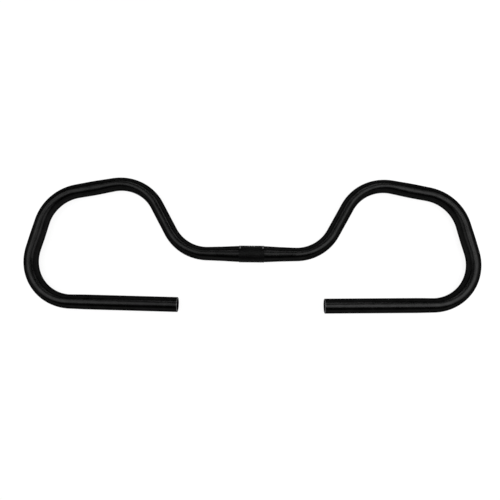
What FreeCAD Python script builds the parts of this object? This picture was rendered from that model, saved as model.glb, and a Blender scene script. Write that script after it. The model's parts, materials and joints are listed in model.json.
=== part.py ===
import FreeCAD, Part
import math
import os

# A butterfly handlebar for a touring bicycle: one aluminium tube, swelled at the middle for the stem
# and bent eight times in one plane, so that each side makes a loop that ends in a grip.
# X runs along the middle of the bar to the rider's right, Y points forward, Z points up.
# The origin is the middle of the clamp zone.

# tube
tube_diameter = 22.2
wall = 2.0
outer_edge_chamfer = 0.5
bore_edge_chamfer = 0.4

# swelled middle: the clamp zone's knurl stands proud of the tube, which the swage narrows on both sides
clamp_diameter = 25.4
clamp_length = 38.0
swelled_diameter = 24.4
swage_length = 23.0

# straight runs of one side, from the middle of the clamp zone to the open end
centre_run = 67.0
diagonal_run = 47.0
front_run = 56.5
outer_run = 43.0
grip_run = 161.0

# bends of one side in degrees, and their radius at the middle of the tube
centre_bend_angle = 61.0
shoulder_bend_angle = 72.0
corner_bend_angle = 65.5
rear_bend_angle = 102.5
bend_radius = 65.0

# bending makes the tube narrower across, most of all between the first two bends,
# and taller by a share of that
inner_flattening = 1.9
outer_flattening = 0.9
heightening_share = 0.5
# the grip is round again at this distance from its bend, the front and outer runs at their middle
grip_easing = 20.0

# out of sight in a bend, the bore turns in short straight lengths of at most this many degrees
bore_turn_angle = 21.0

UP = FreeCAD.Vector(0, 0, 1)
ALONG = FreeCAD.Vector(1, 0, 0)
MIDDLE = FreeCAD.Vector(0, 0, 0)
# a section is drawn with its height along its own X and its face towards its own Z
STAND_UPRIGHT = FreeCAD.Rotation(FreeCAD.Vector(1, 0, 1), 180)


class Route:
    """Walks the tube's middle line, lays its outside length by length and marks sections of its bore."""

    def __init__(self, start):
        self.point = start
        self.heading = 0.0
        self.outside = []
        self.bore_sections = [self.section(0.0, wall)]

    def direction(self, degrees_left=0.0):
        return FreeCAD.Rotation(UP, self.heading + degrees_left).multVec(ALONG)

    def section(self, flattening, inset=0.0):
        """A round or upright oval section where the walk stands, this far inside the tube's outside."""
        radius = tube_diameter / 2 - inset
        if flattening:
            half_height = radius + heightening_share * flattening / 2
            outline = Part.Ellipse(MIDDLE, half_height, radius - flattening / 2)
        else:
            outline = Part.Circle(MIDDLE, UP, radius)
        wire = Part.Wire([outline.toShape()])
        turn = FreeCAD.Rotation(UP, self.heading).multiply(STAND_UPRIGHT)
        wire.Placement = FreeCAD.Placement(self.point, turn)
        return wire

    def run(self, length, flattening_from=0.0, flattening_to=0.0):
        """A straight run, whose section stays the same or changes evenly from end to end."""
        step = self.direction() * length
        first = self.section(flattening_from)
        self.point = self.point + step
        if flattening_from == flattening_to:
            solid = Part.Face(first).extrude(step)
        else:
            solid = Part.makeLoft([first, self.section(flattening_to)], True, True)
        self.outside.append(solid)
        self.bore_sections.append(self.section(flattening_to, wall))

    def bend(self, degrees_left, flattening):
        """A bend in the bar's own plane, to the left or, with a negative angle, to the right."""
        side = 1 if degrees_left > 0 else -1
        centre = self.point + self.direction(90) * (side * bend_radius)
        face = Part.Face(self.section(flattening))
        self.outside.append(face.revolve(centre, UP, degrees_left))
        bore_lengths = math.ceil(abs(degrees_left) / bore_turn_angle)
        turn = degrees_left / bore_lengths
        for _ in range(bore_lengths):
            self.point = centre + FreeCAD.Rotation(UP, turn).multVec(self.point - centre)
            self.heading += turn
            self.bore_sections.append(self.section(flattening, wall))


def middle_section(x, diameter):
    """A round section of the swelled middle, at this distance from the bar's middle."""
    wire = Part.Wire([Part.Circle(MIDDLE, UP, diameter / 2).toShape()])
    wire.Placement = FreeCAD.Placement(ALONG * x, STAND_UPRIGHT)
    return wire


def end_edges(shape, point, radius):
    """The circle of this radius round the middle of an open end."""
    def is_wanted(edge):
        curve = edge.Curve
        on_end = isinstance(curve, Part.Circle) and curve.Center.isEqual(point, 1e-6)
        return on_end and abs(curve.Radius - radius) < 1e-6
    return [edge for edge in shape.Edges if is_wanted(edge)]


# the rider's right side, from the swage to the open end
clamp_end = clamp_length / 2
swage_end = clamp_end + swage_length
route = Route(ALONG * swage_end)
route.run(centre_run - swage_end, 0, inner_flattening)
route.bend(centre_bend_angle, inner_flattening)
route.run(diagonal_run, inner_flattening, inner_flattening)
route.bend(-shoulder_bend_angle, inner_flattening)
route.run(front_run / 2, inner_flattening, 0)
route.run(front_run / 2, 0, outer_flattening)
route.bend(-corner_bend_angle, outer_flattening)
route.run(outer_run / 2, outer_flattening, 0)
route.run(outer_run / 2, 0, outer_flattening)
route.bend(-rear_bend_angle, outer_flattening)
route.run(grip_easing, outer_flattening, 0)
route.run(grip_run - grip_easing)

clamp_sections = [middle_section(x, clamp_diameter) for x in (0, clamp_end)]
clamp_zone = Part.makeLoft(clamp_sections, True, True)
swage_sections = [middle_section(clamp_end, swelled_diameter), middle_section(swage_end, tube_diameter)]
swage = Part.makeLoft(swage_sections, True, True)
outside = clamp_zone.fuse([swage] + route.outside).removeSplitter()

middle_bore_sections = [middle_section(x, swelled_diameter - 2 * wall) for x in (0, clamp_end)]
bore = Part.makeLoft(middle_bore_sections + route.bore_sections, True, True)

right_half = outside.cut(bore)
right_half = right_half.makeChamfer(
    outer_edge_chamfer, end_edges(right_half, route.point, tube_diameter / 2))
right_half = right_half.makeChamfer(
    bore_edge_chamfer, end_edges(right_half, route.point, tube_diameter / 2 - wall))

left_half = right_half.mirror(MIDDLE, ALONG)
handlebar = right_half.fuse(left_half).removeSplitter()

os.makedirs("parts", exist_ok=True)
handlebar.exportStep("parts/handlebar.step")
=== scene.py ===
import bpy
import json
import math
import numpy as np
from mathutils import Euler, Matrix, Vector


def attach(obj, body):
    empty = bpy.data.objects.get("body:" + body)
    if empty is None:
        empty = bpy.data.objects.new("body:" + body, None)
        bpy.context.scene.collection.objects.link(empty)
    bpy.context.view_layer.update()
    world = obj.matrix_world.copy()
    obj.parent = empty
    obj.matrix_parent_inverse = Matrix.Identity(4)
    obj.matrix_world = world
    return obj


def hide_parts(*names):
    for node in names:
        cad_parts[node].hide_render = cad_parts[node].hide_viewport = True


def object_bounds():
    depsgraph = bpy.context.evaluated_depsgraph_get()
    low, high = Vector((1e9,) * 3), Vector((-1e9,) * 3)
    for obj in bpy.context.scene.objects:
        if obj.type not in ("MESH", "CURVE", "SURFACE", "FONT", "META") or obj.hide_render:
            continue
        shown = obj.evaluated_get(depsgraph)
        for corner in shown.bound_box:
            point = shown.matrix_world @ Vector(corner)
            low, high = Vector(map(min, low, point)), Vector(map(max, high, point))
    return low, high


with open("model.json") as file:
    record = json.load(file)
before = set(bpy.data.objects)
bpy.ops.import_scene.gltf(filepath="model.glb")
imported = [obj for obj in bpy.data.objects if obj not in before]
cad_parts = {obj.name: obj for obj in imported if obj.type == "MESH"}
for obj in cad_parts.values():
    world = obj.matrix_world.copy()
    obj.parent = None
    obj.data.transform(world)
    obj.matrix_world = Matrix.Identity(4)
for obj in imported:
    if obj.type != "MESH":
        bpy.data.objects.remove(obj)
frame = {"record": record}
cad_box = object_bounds()

# The bent tube: one length of aluminium tube, swelled at the middle for the stem, bent cold eight times
# in one plane, sawn square and deburred at its two open ends, then blasted and anodised satin black.
mm = 0.001
mounts = {mount["name"]: mount["dims"] for mount in frame["record"]["mounts"]}
tube_radius = mounts["right_grip"]["r_mm"] * mm
wall = tube_radius - mounts["right_end_bore"]["r_mm"] * mm
clamp_radius = mounts["stem_clamp"]["r_mm"] * mm
clamp_half_length = mounts["stem_clamp"]["length_mm"] / 2 * mm
swelled_radius = 12.2 * mm
swage_length = 23.0 * mm
outer_edge_rounding = 0.5 * mm
bore_edge_rounding = 0.4 * mm

# straight runs and bends of one side in turn, from the middle of the bar to its open end
runs = np.array([67.0, 47.0, 56.5, 43.0, 161.0]) * mm
bends = np.radians([61.0, -72.0, -65.5, -102.5])
bend_radius = 65.0 * mm

# bending leaves the tube narrower across, most of all between the first two bends, and taller by a share
inner_flattening = 1.9 * mm
outer_flattening = 0.9 * mm
heightening_share = 0.5
grip_easing = 20.0 * mm
swage_softness = 4.0 * mm
flattening_softness = 9.0 * mm

# runs and bends in turn along one side: their lengths, their turns and how far along the bar each starts
lengths = np.zeros(runs.size + bends.size)
lengths[0::2] = runs
lengths[1::2] = bend_radius * np.abs(bends)
turns = np.zeros_like(lengths)
turns[1::2] = bends
starts = np.cumsum(lengths) - lengths
half_length = lengths.sum()


def middle_line(distance):
    """Points and headings of the bar's middle line, at signed distances from its middle.

    Each run or bend on the way adds its chord: the length walked on it times sin(h) / h, where h is half
    the turn made on it, at the heading half way. The left side is the mirror image of the right one.
    """
    walked = np.clip(np.abs(distance)[:, None] - starts, 0, lengths)
    turned = turns * walked / lengths
    half_way = np.cumsum(turns) - turns + turned / 2
    chord = walked * np.sinc(turned / 2 / np.pi)
    side = np.sign(distance)
    x = side * (chord * np.cos(half_way)).sum(axis=1)
    y = (chord * np.sin(half_way)).sum(axis=1)
    return x, y, side * turned.sum(axis=1)


def eased(distance, at, values, softness):
    """Straight lines between the values at these distances, with each corner rounded off by taking the
    mean over a short length of bar, this far to both sides."""
    spread = np.linspace(-softness, softness, 15)
    return np.interp(np.abs(distance)[:, None] + spread, at, values).mean(axis=1)


def tube_section(distance):
    """Half width and half height of the tube's outside, at signed distances from the bar's middle.

    The radius narrows along the swage. The flattening comes off the width, and a share of it goes on
    to the height.
    """
    swage_end = clamp_half_length + swage_length
    radius = eased(distance, [clamp_half_length, swage_end], [swelled_radius, tube_radius], swage_softness)
    front_middle, outer_middle = starts[4] + runs[2] / 2, starts[6] + runs[3] / 2
    flattening_at = [swage_end, starts[1], starts[4], front_middle, starts[5], starts[6],
                     outer_middle, starts[7], starts[8], starts[8] + grip_easing]
    inner, outer = inner_flattening, outer_flattening
    flattenings = [0, inner, inner, 0, outer, outer, 0, outer, outer, 0]
    flattening = eased(distance, flattening_at, flattenings, flattening_softness)
    return radius - flattening / 2, radius + heightening_share * flattening / 2


def closed_skin(name, rings):
    """A smooth mesh piece from rings of points. Each ring is closed, and the last one joins the first."""
    rows, columns = rings.shape[:2]
    here = np.arange(rows * columns).reshape(rows, columns)
    onward = np.roll(here, -1, axis=0)
    quads = np.stack([here, onward, np.roll(onward, -1, axis=1), np.roll(here, -1, axis=1)], axis=-1)
    mesh = bpy.data.meshes.new(name)
    mesh.from_pydata(rings.reshape(-1, 3), [], quads.reshape(-1, 4))
    mesh.shade_smooth()
    piece = bpy.data.objects.new(name, mesh)
    bpy.context.collection.objects.link(piece)
    return piece


def bent_tube():
    """The whole tube as one closed skin: rings carried along the middle line over the outside, round
    the right end's rim, back through the bore and round the left end's rim.

    A ring is an upright ellipse square to the middle line, inset by its depth below the outside.
    Each point also gets a rim value, which is 1 on the rims and 0 elsewhere.
    """
    skin_rings, bore_rings, points_round = 577, 181, 96
    quarter = np.linspace(0, np.pi / 2, 6)
    near_edge = 0.15 * mm
    rim_at = np.concatenate([
        half_length - outer_edge_rounding * (1 - np.sin(quarter)),
        [half_length, half_length],
        half_length - bore_edge_rounding * (1 - np.cos(quarter))])
    rim_depth = np.concatenate([
        outer_edge_rounding * (1 - np.cos(quarter)),
        [outer_edge_rounding + near_edge, wall - bore_edge_rounding - near_edge],
        wall - bore_edge_rounding * (1 - np.sin(quarter))])
    skin_reach = half_length - outer_edge_rounding - near_edge
    skin_at = np.linspace(-skin_reach, skin_reach, skin_rings)
    bore_reach = half_length - bore_edge_rounding - near_edge
    bore_at = np.linspace(bore_reach, -bore_reach, bore_rings)
    ring_at = np.concatenate([skin_at, rim_at, bore_at, -rim_at[::-1]])
    depth = np.concatenate([np.zeros(skin_at.size), rim_depth, np.full(bore_at.size, wall), rim_depth[::-1]])

    x, y, heading = (each[:, None] for each in middle_line(ring_at))
    half_width, half_height = ((each - depth)[:, None] for each in tube_section(ring_at))
    angle = np.linspace(0, 2 * np.pi, points_round, endpoint=False)
    across = half_width * np.cos(angle)
    height = -half_height * np.sin(angle)
    rings = np.stack([x - across * np.sin(heading), y + across * np.cos(heading), height], axis=-1)
    tube = closed_skin("bent_tube", rings)

    skin, end, bore = np.zeros(skin_at.size), np.ones(rim_at.size), np.zeros(bore_at.size)
    on_rim = np.repeat(np.concatenate([skin, end, bore, end]), angle.size)
    rim = tube.data.attributes.new("rim", "FLOAT", "POINT")
    rim.data.foreach_set("value", on_rim.astype(np.float32))
    return tube


# shares of light that the black metal throws back, and its roughness, each from the least to the most
tube_black = (0.0064, 0.0100)
tube_roughness = (0.26, 0.31)
tube_edge_share = 0.42
# painted highlight: the paler grey of the end rims, for the glint on their rounded edges
rim_highlight_grey = 0.09
cloud_scale = 90
grain_scale = 3200
grain_strength = 0.15
grain_depth = 0.05 * mm


def satin_black(name, black, edge_share, roughness):
    """Black anodised aluminium: a dark metal, and darker still on the slant, where light crosses more of
    the dyed layer and only a share comes back. Fine blasted grain is in the bump, and faint cloudiness
    in colour and roughness, both in straight lines of one noise between its low and high levels.
    """
    low, high = 0.3, 0.7
    material = bpy.data.materials.new(name)
    material.use_nodes = True
    nodes, links = material.node_tree.nodes, material.node_tree.links
    surface = nodes["Principled BSDF"]
    surface.inputs["Metallic"].default_value = 1.0
    surface.inputs["Specular Tint"].default_value = (edge_share, edge_share, edge_share, 1)
    place = nodes.new("ShaderNodeTexCoord")

    cloud = nodes.new("ShaderNodeTexNoise")
    cloud.inputs["Scale"].default_value = cloud_scale
    cloud.inputs["Detail"].default_value = 4
    links.new(place.outputs["Object"], cloud.inputs["Vector"])
    colour = nodes.new("ShaderNodeValToRGB")
    colour.color_ramp.elements[0].position = low
    colour.color_ramp.elements[0].color = (black[0], black[0], black[0], 1)
    colour.color_ramp.elements[1].position = high
    colour.color_ramp.elements[1].color = (black[1], black[1], black[1], 1)
    links.new(cloud.outputs["Fac"], colour.inputs["Fac"])
    links.new(colour.outputs["Color"], surface.inputs["Base Color"])
    sheen = nodes.new("ShaderNodeMapRange")
    sheen.inputs["From Min"].default_value = low
    sheen.inputs["From Max"].default_value = high
    sheen.inputs["To Min"].default_value = roughness[0]
    sheen.inputs["To Max"].default_value = roughness[1]
    links.new(cloud.outputs["Fac"], sheen.inputs["Value"])
    links.new(sheen.outputs["Result"], surface.inputs["Roughness"])

    grain = nodes.new("ShaderNodeTexNoise")
    grain.inputs["Scale"].default_value = grain_scale
    grain.inputs["Detail"].default_value = 2
    links.new(place.outputs["Object"], grain.inputs["Vector"])
    bump = nodes.new("ShaderNodeBump")
    bump.inputs["Strength"].default_value = grain_strength
    bump.inputs["Distance"].default_value = grain_depth
    links.new(grain.outputs["Fac"], bump.inputs["Height"])
    links.new(bump.outputs["Normal"], surface.inputs["Normal"])
    return material


def pale_over(material, mark, grey):
    """Mixes a paler grey over a material's own colour, by the mesh's value of this name, from 0 to 1."""
    nodes, links = material.node_tree.nodes, material.node_tree.links
    base_colour = nodes["Principled BSDF"].inputs["Base Color"]
    share = nodes.new("ShaderNodeAttribute")
    share.attribute_name = mark
    mix = nodes.new("ShaderNodeMixRGB")
    mix.inputs["Color2"].default_value = (grey, grey, grey, 1)
    links.new(share.outputs["Fac"], mix.inputs["Fac"])
    links.new(base_colour.links[0].from_socket, mix.inputs["Color1"])
    links.new(mix.outputs["Color"], base_colour)
    return share


# the deburred rims of the ends are paler: a painted highlight, lighter metal that brightens the glint their
# rounded edges catch
tube = bent_tube()
tube_finish = satin_black("satin_black_anodise", tube_black, tube_edge_share, tube_roughness)
pale_over(tube_finish, "rim", rim_highlight_grey)
tube.data.materials.append(tube_finish)
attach(tube, "root")
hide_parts("handlebar")

# The knurled band: the middle of the bar, where the stem clamps it. Two crossed rollers press a shallow
# diamond pattern into the swelled tube, and the metal that they push up stands proud of the swage.
# The pressed metal is duller than the tube. Plain pale ticks on its front flank help to centre the stem.
knurl_starts = 58
knurl_pitch = 2.4 * mm
knurl_depth = 0.16 * mm
knurl_flat_share = 0.5
band_bed = 0.3 * mm
band_end_bevel = 0.4 * mm
tick_width = 0.7 * mm
tick_places = np.array([-17.2, -3.9, 0.0, 3.9, 17.2]) * mm
tick_tops = np.radians([32, 50, 50, 50, 32])
tick_foot = math.radians(76)
tick_grey = 0.2
band_black = (0.0040, 0.0064)
band_roughness = (0.36, 0.44)
band_edge_share = 0.7


def triangle_wave(phase):
    """0 at whole phases and 1 half way between them, in straight lines."""
    return 1 - np.abs(2 * (phase % 1) - 1)


def knurled_band():
    """A sleeve whose outside is a diamond knurl, closed at its ends and bedded in the tube.

    The height over the grooves is the lower of two triangle waves on crossed helices, cut off flat
    near the top, and it fades out to the ends over a bevel. Each point also gets a tick value, which is 1
    within half a tick's width of its place and between its top and foot, as angles forward from upright.
    """
    steps_per_diamond = 8
    rows = 2 * round(clamp_half_length / knurl_pitch * steps_per_diamond)
    along = np.linspace(-clamp_half_length, clamp_half_length, rows + 1)[:, None]
    angle = np.linspace(0, 2 * np.pi, knurl_starts * steps_per_diamond, endpoint=False)
    turn = knurl_starts * angle / (2 * np.pi)
    lead = along / knurl_pitch
    diamond = np.minimum(triangle_wave(turn + lead), triangle_wave(turn - lead))
    flat_top = 1 - knurl_flat_share
    height = knurl_depth * np.minimum(diamond, flat_top) / flat_top
    end_drop = np.clip(band_end_bevel - (clamp_half_length - np.abs(along)), 0, None)
    radius = clamp_radius - knurl_depth + height - end_drop
    bed = np.full((2, angle.size), swelled_radius - band_bed)
    radius = np.concatenate([radius, bed])
    along = np.concatenate([along, along[[-1, 0]]])
    rings = np.stack([along + 0 * angle, radius * np.cos(angle), -radius * np.sin(angle)], axis=-1)
    band = closed_skin("knurled_band", rings)

    upright = 1.5 * np.pi
    forward = (angle - upright)[None, :, None]
    on_place = np.abs(along[:, :, None] - tick_places) <= tick_width / 2
    ticked = (on_place & (forward >= tick_tops) & (forward <= tick_foot)).any(axis=-1)
    tick = band.data.attributes.new("tick", "FLOAT", "POINT")
    tick.data.foreach_set("value", ticked.astype(np.float32).ravel())
    return band


def add_ticks(material):
    """Lays pale paint over a metal where the mesh's tick value is 1. The metal share is 1 less that value."""
    nodes, links = material.node_tree.nodes, material.node_tree.links
    tick = pale_over(material, "tick", tick_grey)
    bare_metal = nodes.new("ShaderNodeMath")
    bare_metal.operation = "SUBTRACT"
    bare_metal.inputs[0].default_value = 1.0
    links.new(tick.outputs["Fac"], bare_metal.inputs[1])
    links.new(bare_metal.outputs["Value"], nodes["Principled BSDF"].inputs["Metallic"])


band = knurled_band()
band_finish = satin_black("knurled_black_anodise", band_black, band_edge_share, band_roughness)
add_ticks(band_finish)
band.data.materials.append(band_finish)
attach(band, "root")

# The floor: a plain white studio sheet that the bar lies on, turned up into a backdrop all round.
# It glows white to the camera and to gloss, and takes light otherwise, so that it keeps the shadow.
floor_level = cad_box[0][2]
floor_flat_radius = 2.4
backdrop_radius = 3.4
backdrop_height = 1.3
sheet_grey = 0.1
sheet_glow = 0.92


def studio_sheet():
    """A disc whose edge turns up: a profile of distance from the middle and height, carried round it."""
    bend = np.linspace(0, np.pi / 2, 12)
    middle_patch = 0.01
    turned_up = floor_flat_radius + (backdrop_radius - floor_flat_radius) * np.sin(bend)
    reach = np.concatenate([[middle_patch], turned_up])
    height = np.concatenate([[0.0], backdrop_height * (1 - np.cos(bend))])
    angle = np.linspace(0, 2 * np.pi, 96, endpoint=False)
    rings = np.stack([reach[:, None] * np.cos(angle), reach[:, None] * np.sin(angle),
                      floor_level + height[:, None] + 0 * angle], axis=-1)
    here = np.arange(rings.shape[0] * angle.size).reshape(-1, angle.size)
    inner, outer = here[:-1], here[1:]
    quads = np.stack([inner, outer, np.roll(outer, -1, axis=1), np.roll(inner, -1, axis=1)], axis=-1)
    mesh = bpy.data.meshes.new("studio_sheet")
    mesh.from_pydata(rings.reshape(-1, 3), [], [*quads.reshape(-1, 4).tolist(), here[0].tolist()])
    mesh.shade_smooth()
    sheet = bpy.data.objects.new("studio_sheet", mesh)
    bpy.context.collection.objects.link(sheet)
    return sheet


def white_sheet():
    """White paper: takes a part of its white from the lamps, and the rest is glow for camera and gloss."""
    material = bpy.data.materials.new("white_sheet")
    material.use_nodes = True
    nodes, links = material.node_tree.nodes, material.node_tree.links
    surface = nodes["Principled BSDF"]
    surface.inputs["Base Color"].default_value = (sheet_grey, sheet_grey, sheet_grey, 1)
    surface.inputs["Roughness"].default_value = 1.0
    surface.inputs["Specular IOR Level"].default_value = 0.0
    surface.inputs["Emission Color"].default_value = (1, 1, 1, 1)
    ray = nodes.new("ShaderNodeLightPath")
    camera_or_gloss = nodes.new("ShaderNodeMath")
    camera_or_gloss.operation = "MAXIMUM"
    links.new(ray.outputs["Is Camera Ray"], camera_or_gloss.inputs[0])
    links.new(ray.outputs["Is Glossy Ray"], camera_or_gloss.inputs[1])
    any_view = nodes.new("ShaderNodeMath")
    any_view.operation = "MAXIMUM"
    links.new(camera_or_gloss.outputs["Value"], any_view.inputs[0])
    links.new(ray.outputs["Is Transmission Ray"], any_view.inputs[1])
    glow = nodes.new("ShaderNodeMath")
    glow.operation = "MULTIPLY"
    glow.inputs[1].default_value = sheet_glow
    links.new(any_view.outputs["Value"], glow.inputs[0])
    links.new(glow.outputs["Value"], surface.inputs["Emission Strength"])
    return material


sheet = studio_sheet()
sheet.data.materials.append(white_sheet())

# The lamps: seven soft boxes hang level over the bar, a large one out to each side, a small one over each
# grip, a weak one over the middle and two ahead of the bar. Grids narrow their light, and each is seen as
# a band along the tube, a little brighter on the right than on the left. The room beyond is dim.
def soft_box(name, place, length, width, turn, spread, power):
    """A level flat lamp that shines down, turned about the upright. Its grid holds the light to a spread."""
    lamp = bpy.data.lights.new(name, "AREA")
    lamp.shape = "RECTANGLE"
    lamp.size = length
    lamp.size_y = width
    lamp.spread = math.radians(spread)
    lamp.energy = power
    box = bpy.data.objects.new(name, lamp)
    box.location = place
    box.rotation_euler = (0, 0, math.radians(turn))
    bpy.context.collection.objects.link(box)


soft_box("left_box", (-1.17, -0.08, 0.95), 1.25, 0.9, 10, 120, 10.8)
soft_box("right_box", (1.16, -0.08, 0.95), 1.25, 0.9, -10, 120, 13.0)
soft_box("left_inner_box", (-0.33, -0.13, 0.95), 0.3, 0.6, 0, 110, 0.9)
soft_box("right_inner_box", (0.33, -0.13, 0.95), 0.3, 0.6, 0, 110, 1.6)
soft_box("middle_box", (0.0, 0.0, 1.0), 0.3, 0.4, 0, 36, 0.07)
soft_box("left_front_box", (-0.31, 0.8, 1.0), 0.36, 0.32, 0, 110, 1.7)
soft_box("right_front_box", (0.29, 0.8, 1.0), 0.36, 0.32, 0, 110, 2.3)

room = bpy.data.worlds.new("dim_room")
room.use_nodes = True
room_grey = 0.01
room.node_tree.nodes["Background"].inputs["Color"].default_value = (room_grey, room_grey, room_grey, 1)
bpy.context.scene.world = room

# The camera: over the bar, a little on the rider's side, looking down on the clamp zone. Its focal length
# and the clamp zone's place in the square picture are given in pixels.
photo_size = 500
focal_length_px = 480
camera_distance = 726.7 * mm
camera_pitch = 0.1644
camera_yaw = 0.0074
camera_roll = 0.0112
clamp_zone_px = (251.58, 254.06)

camera_data = bpy.data.cameras.new("camera")
camera_data.sensor_width = 36
camera_data.lens = camera_data.sensor_width * focal_length_px / photo_size
camera_data.shift_x = 0.5 - clamp_zone_px[0] / photo_size
camera_data.shift_y = clamp_zone_px[1] / photo_size - 0.5
camera = bpy.data.objects.new("camera", camera_data)
camera.rotation_euler = Euler((camera_pitch, camera_yaw, camera_roll))
camera.location = camera.rotation_euler.to_matrix() @ Vector((0, 0, camera_distance))
bpy.context.collection.objects.link(camera)
bpy.context.scene.camera = camera
bpy.context.scene.view_settings.view_transform = "Standard"
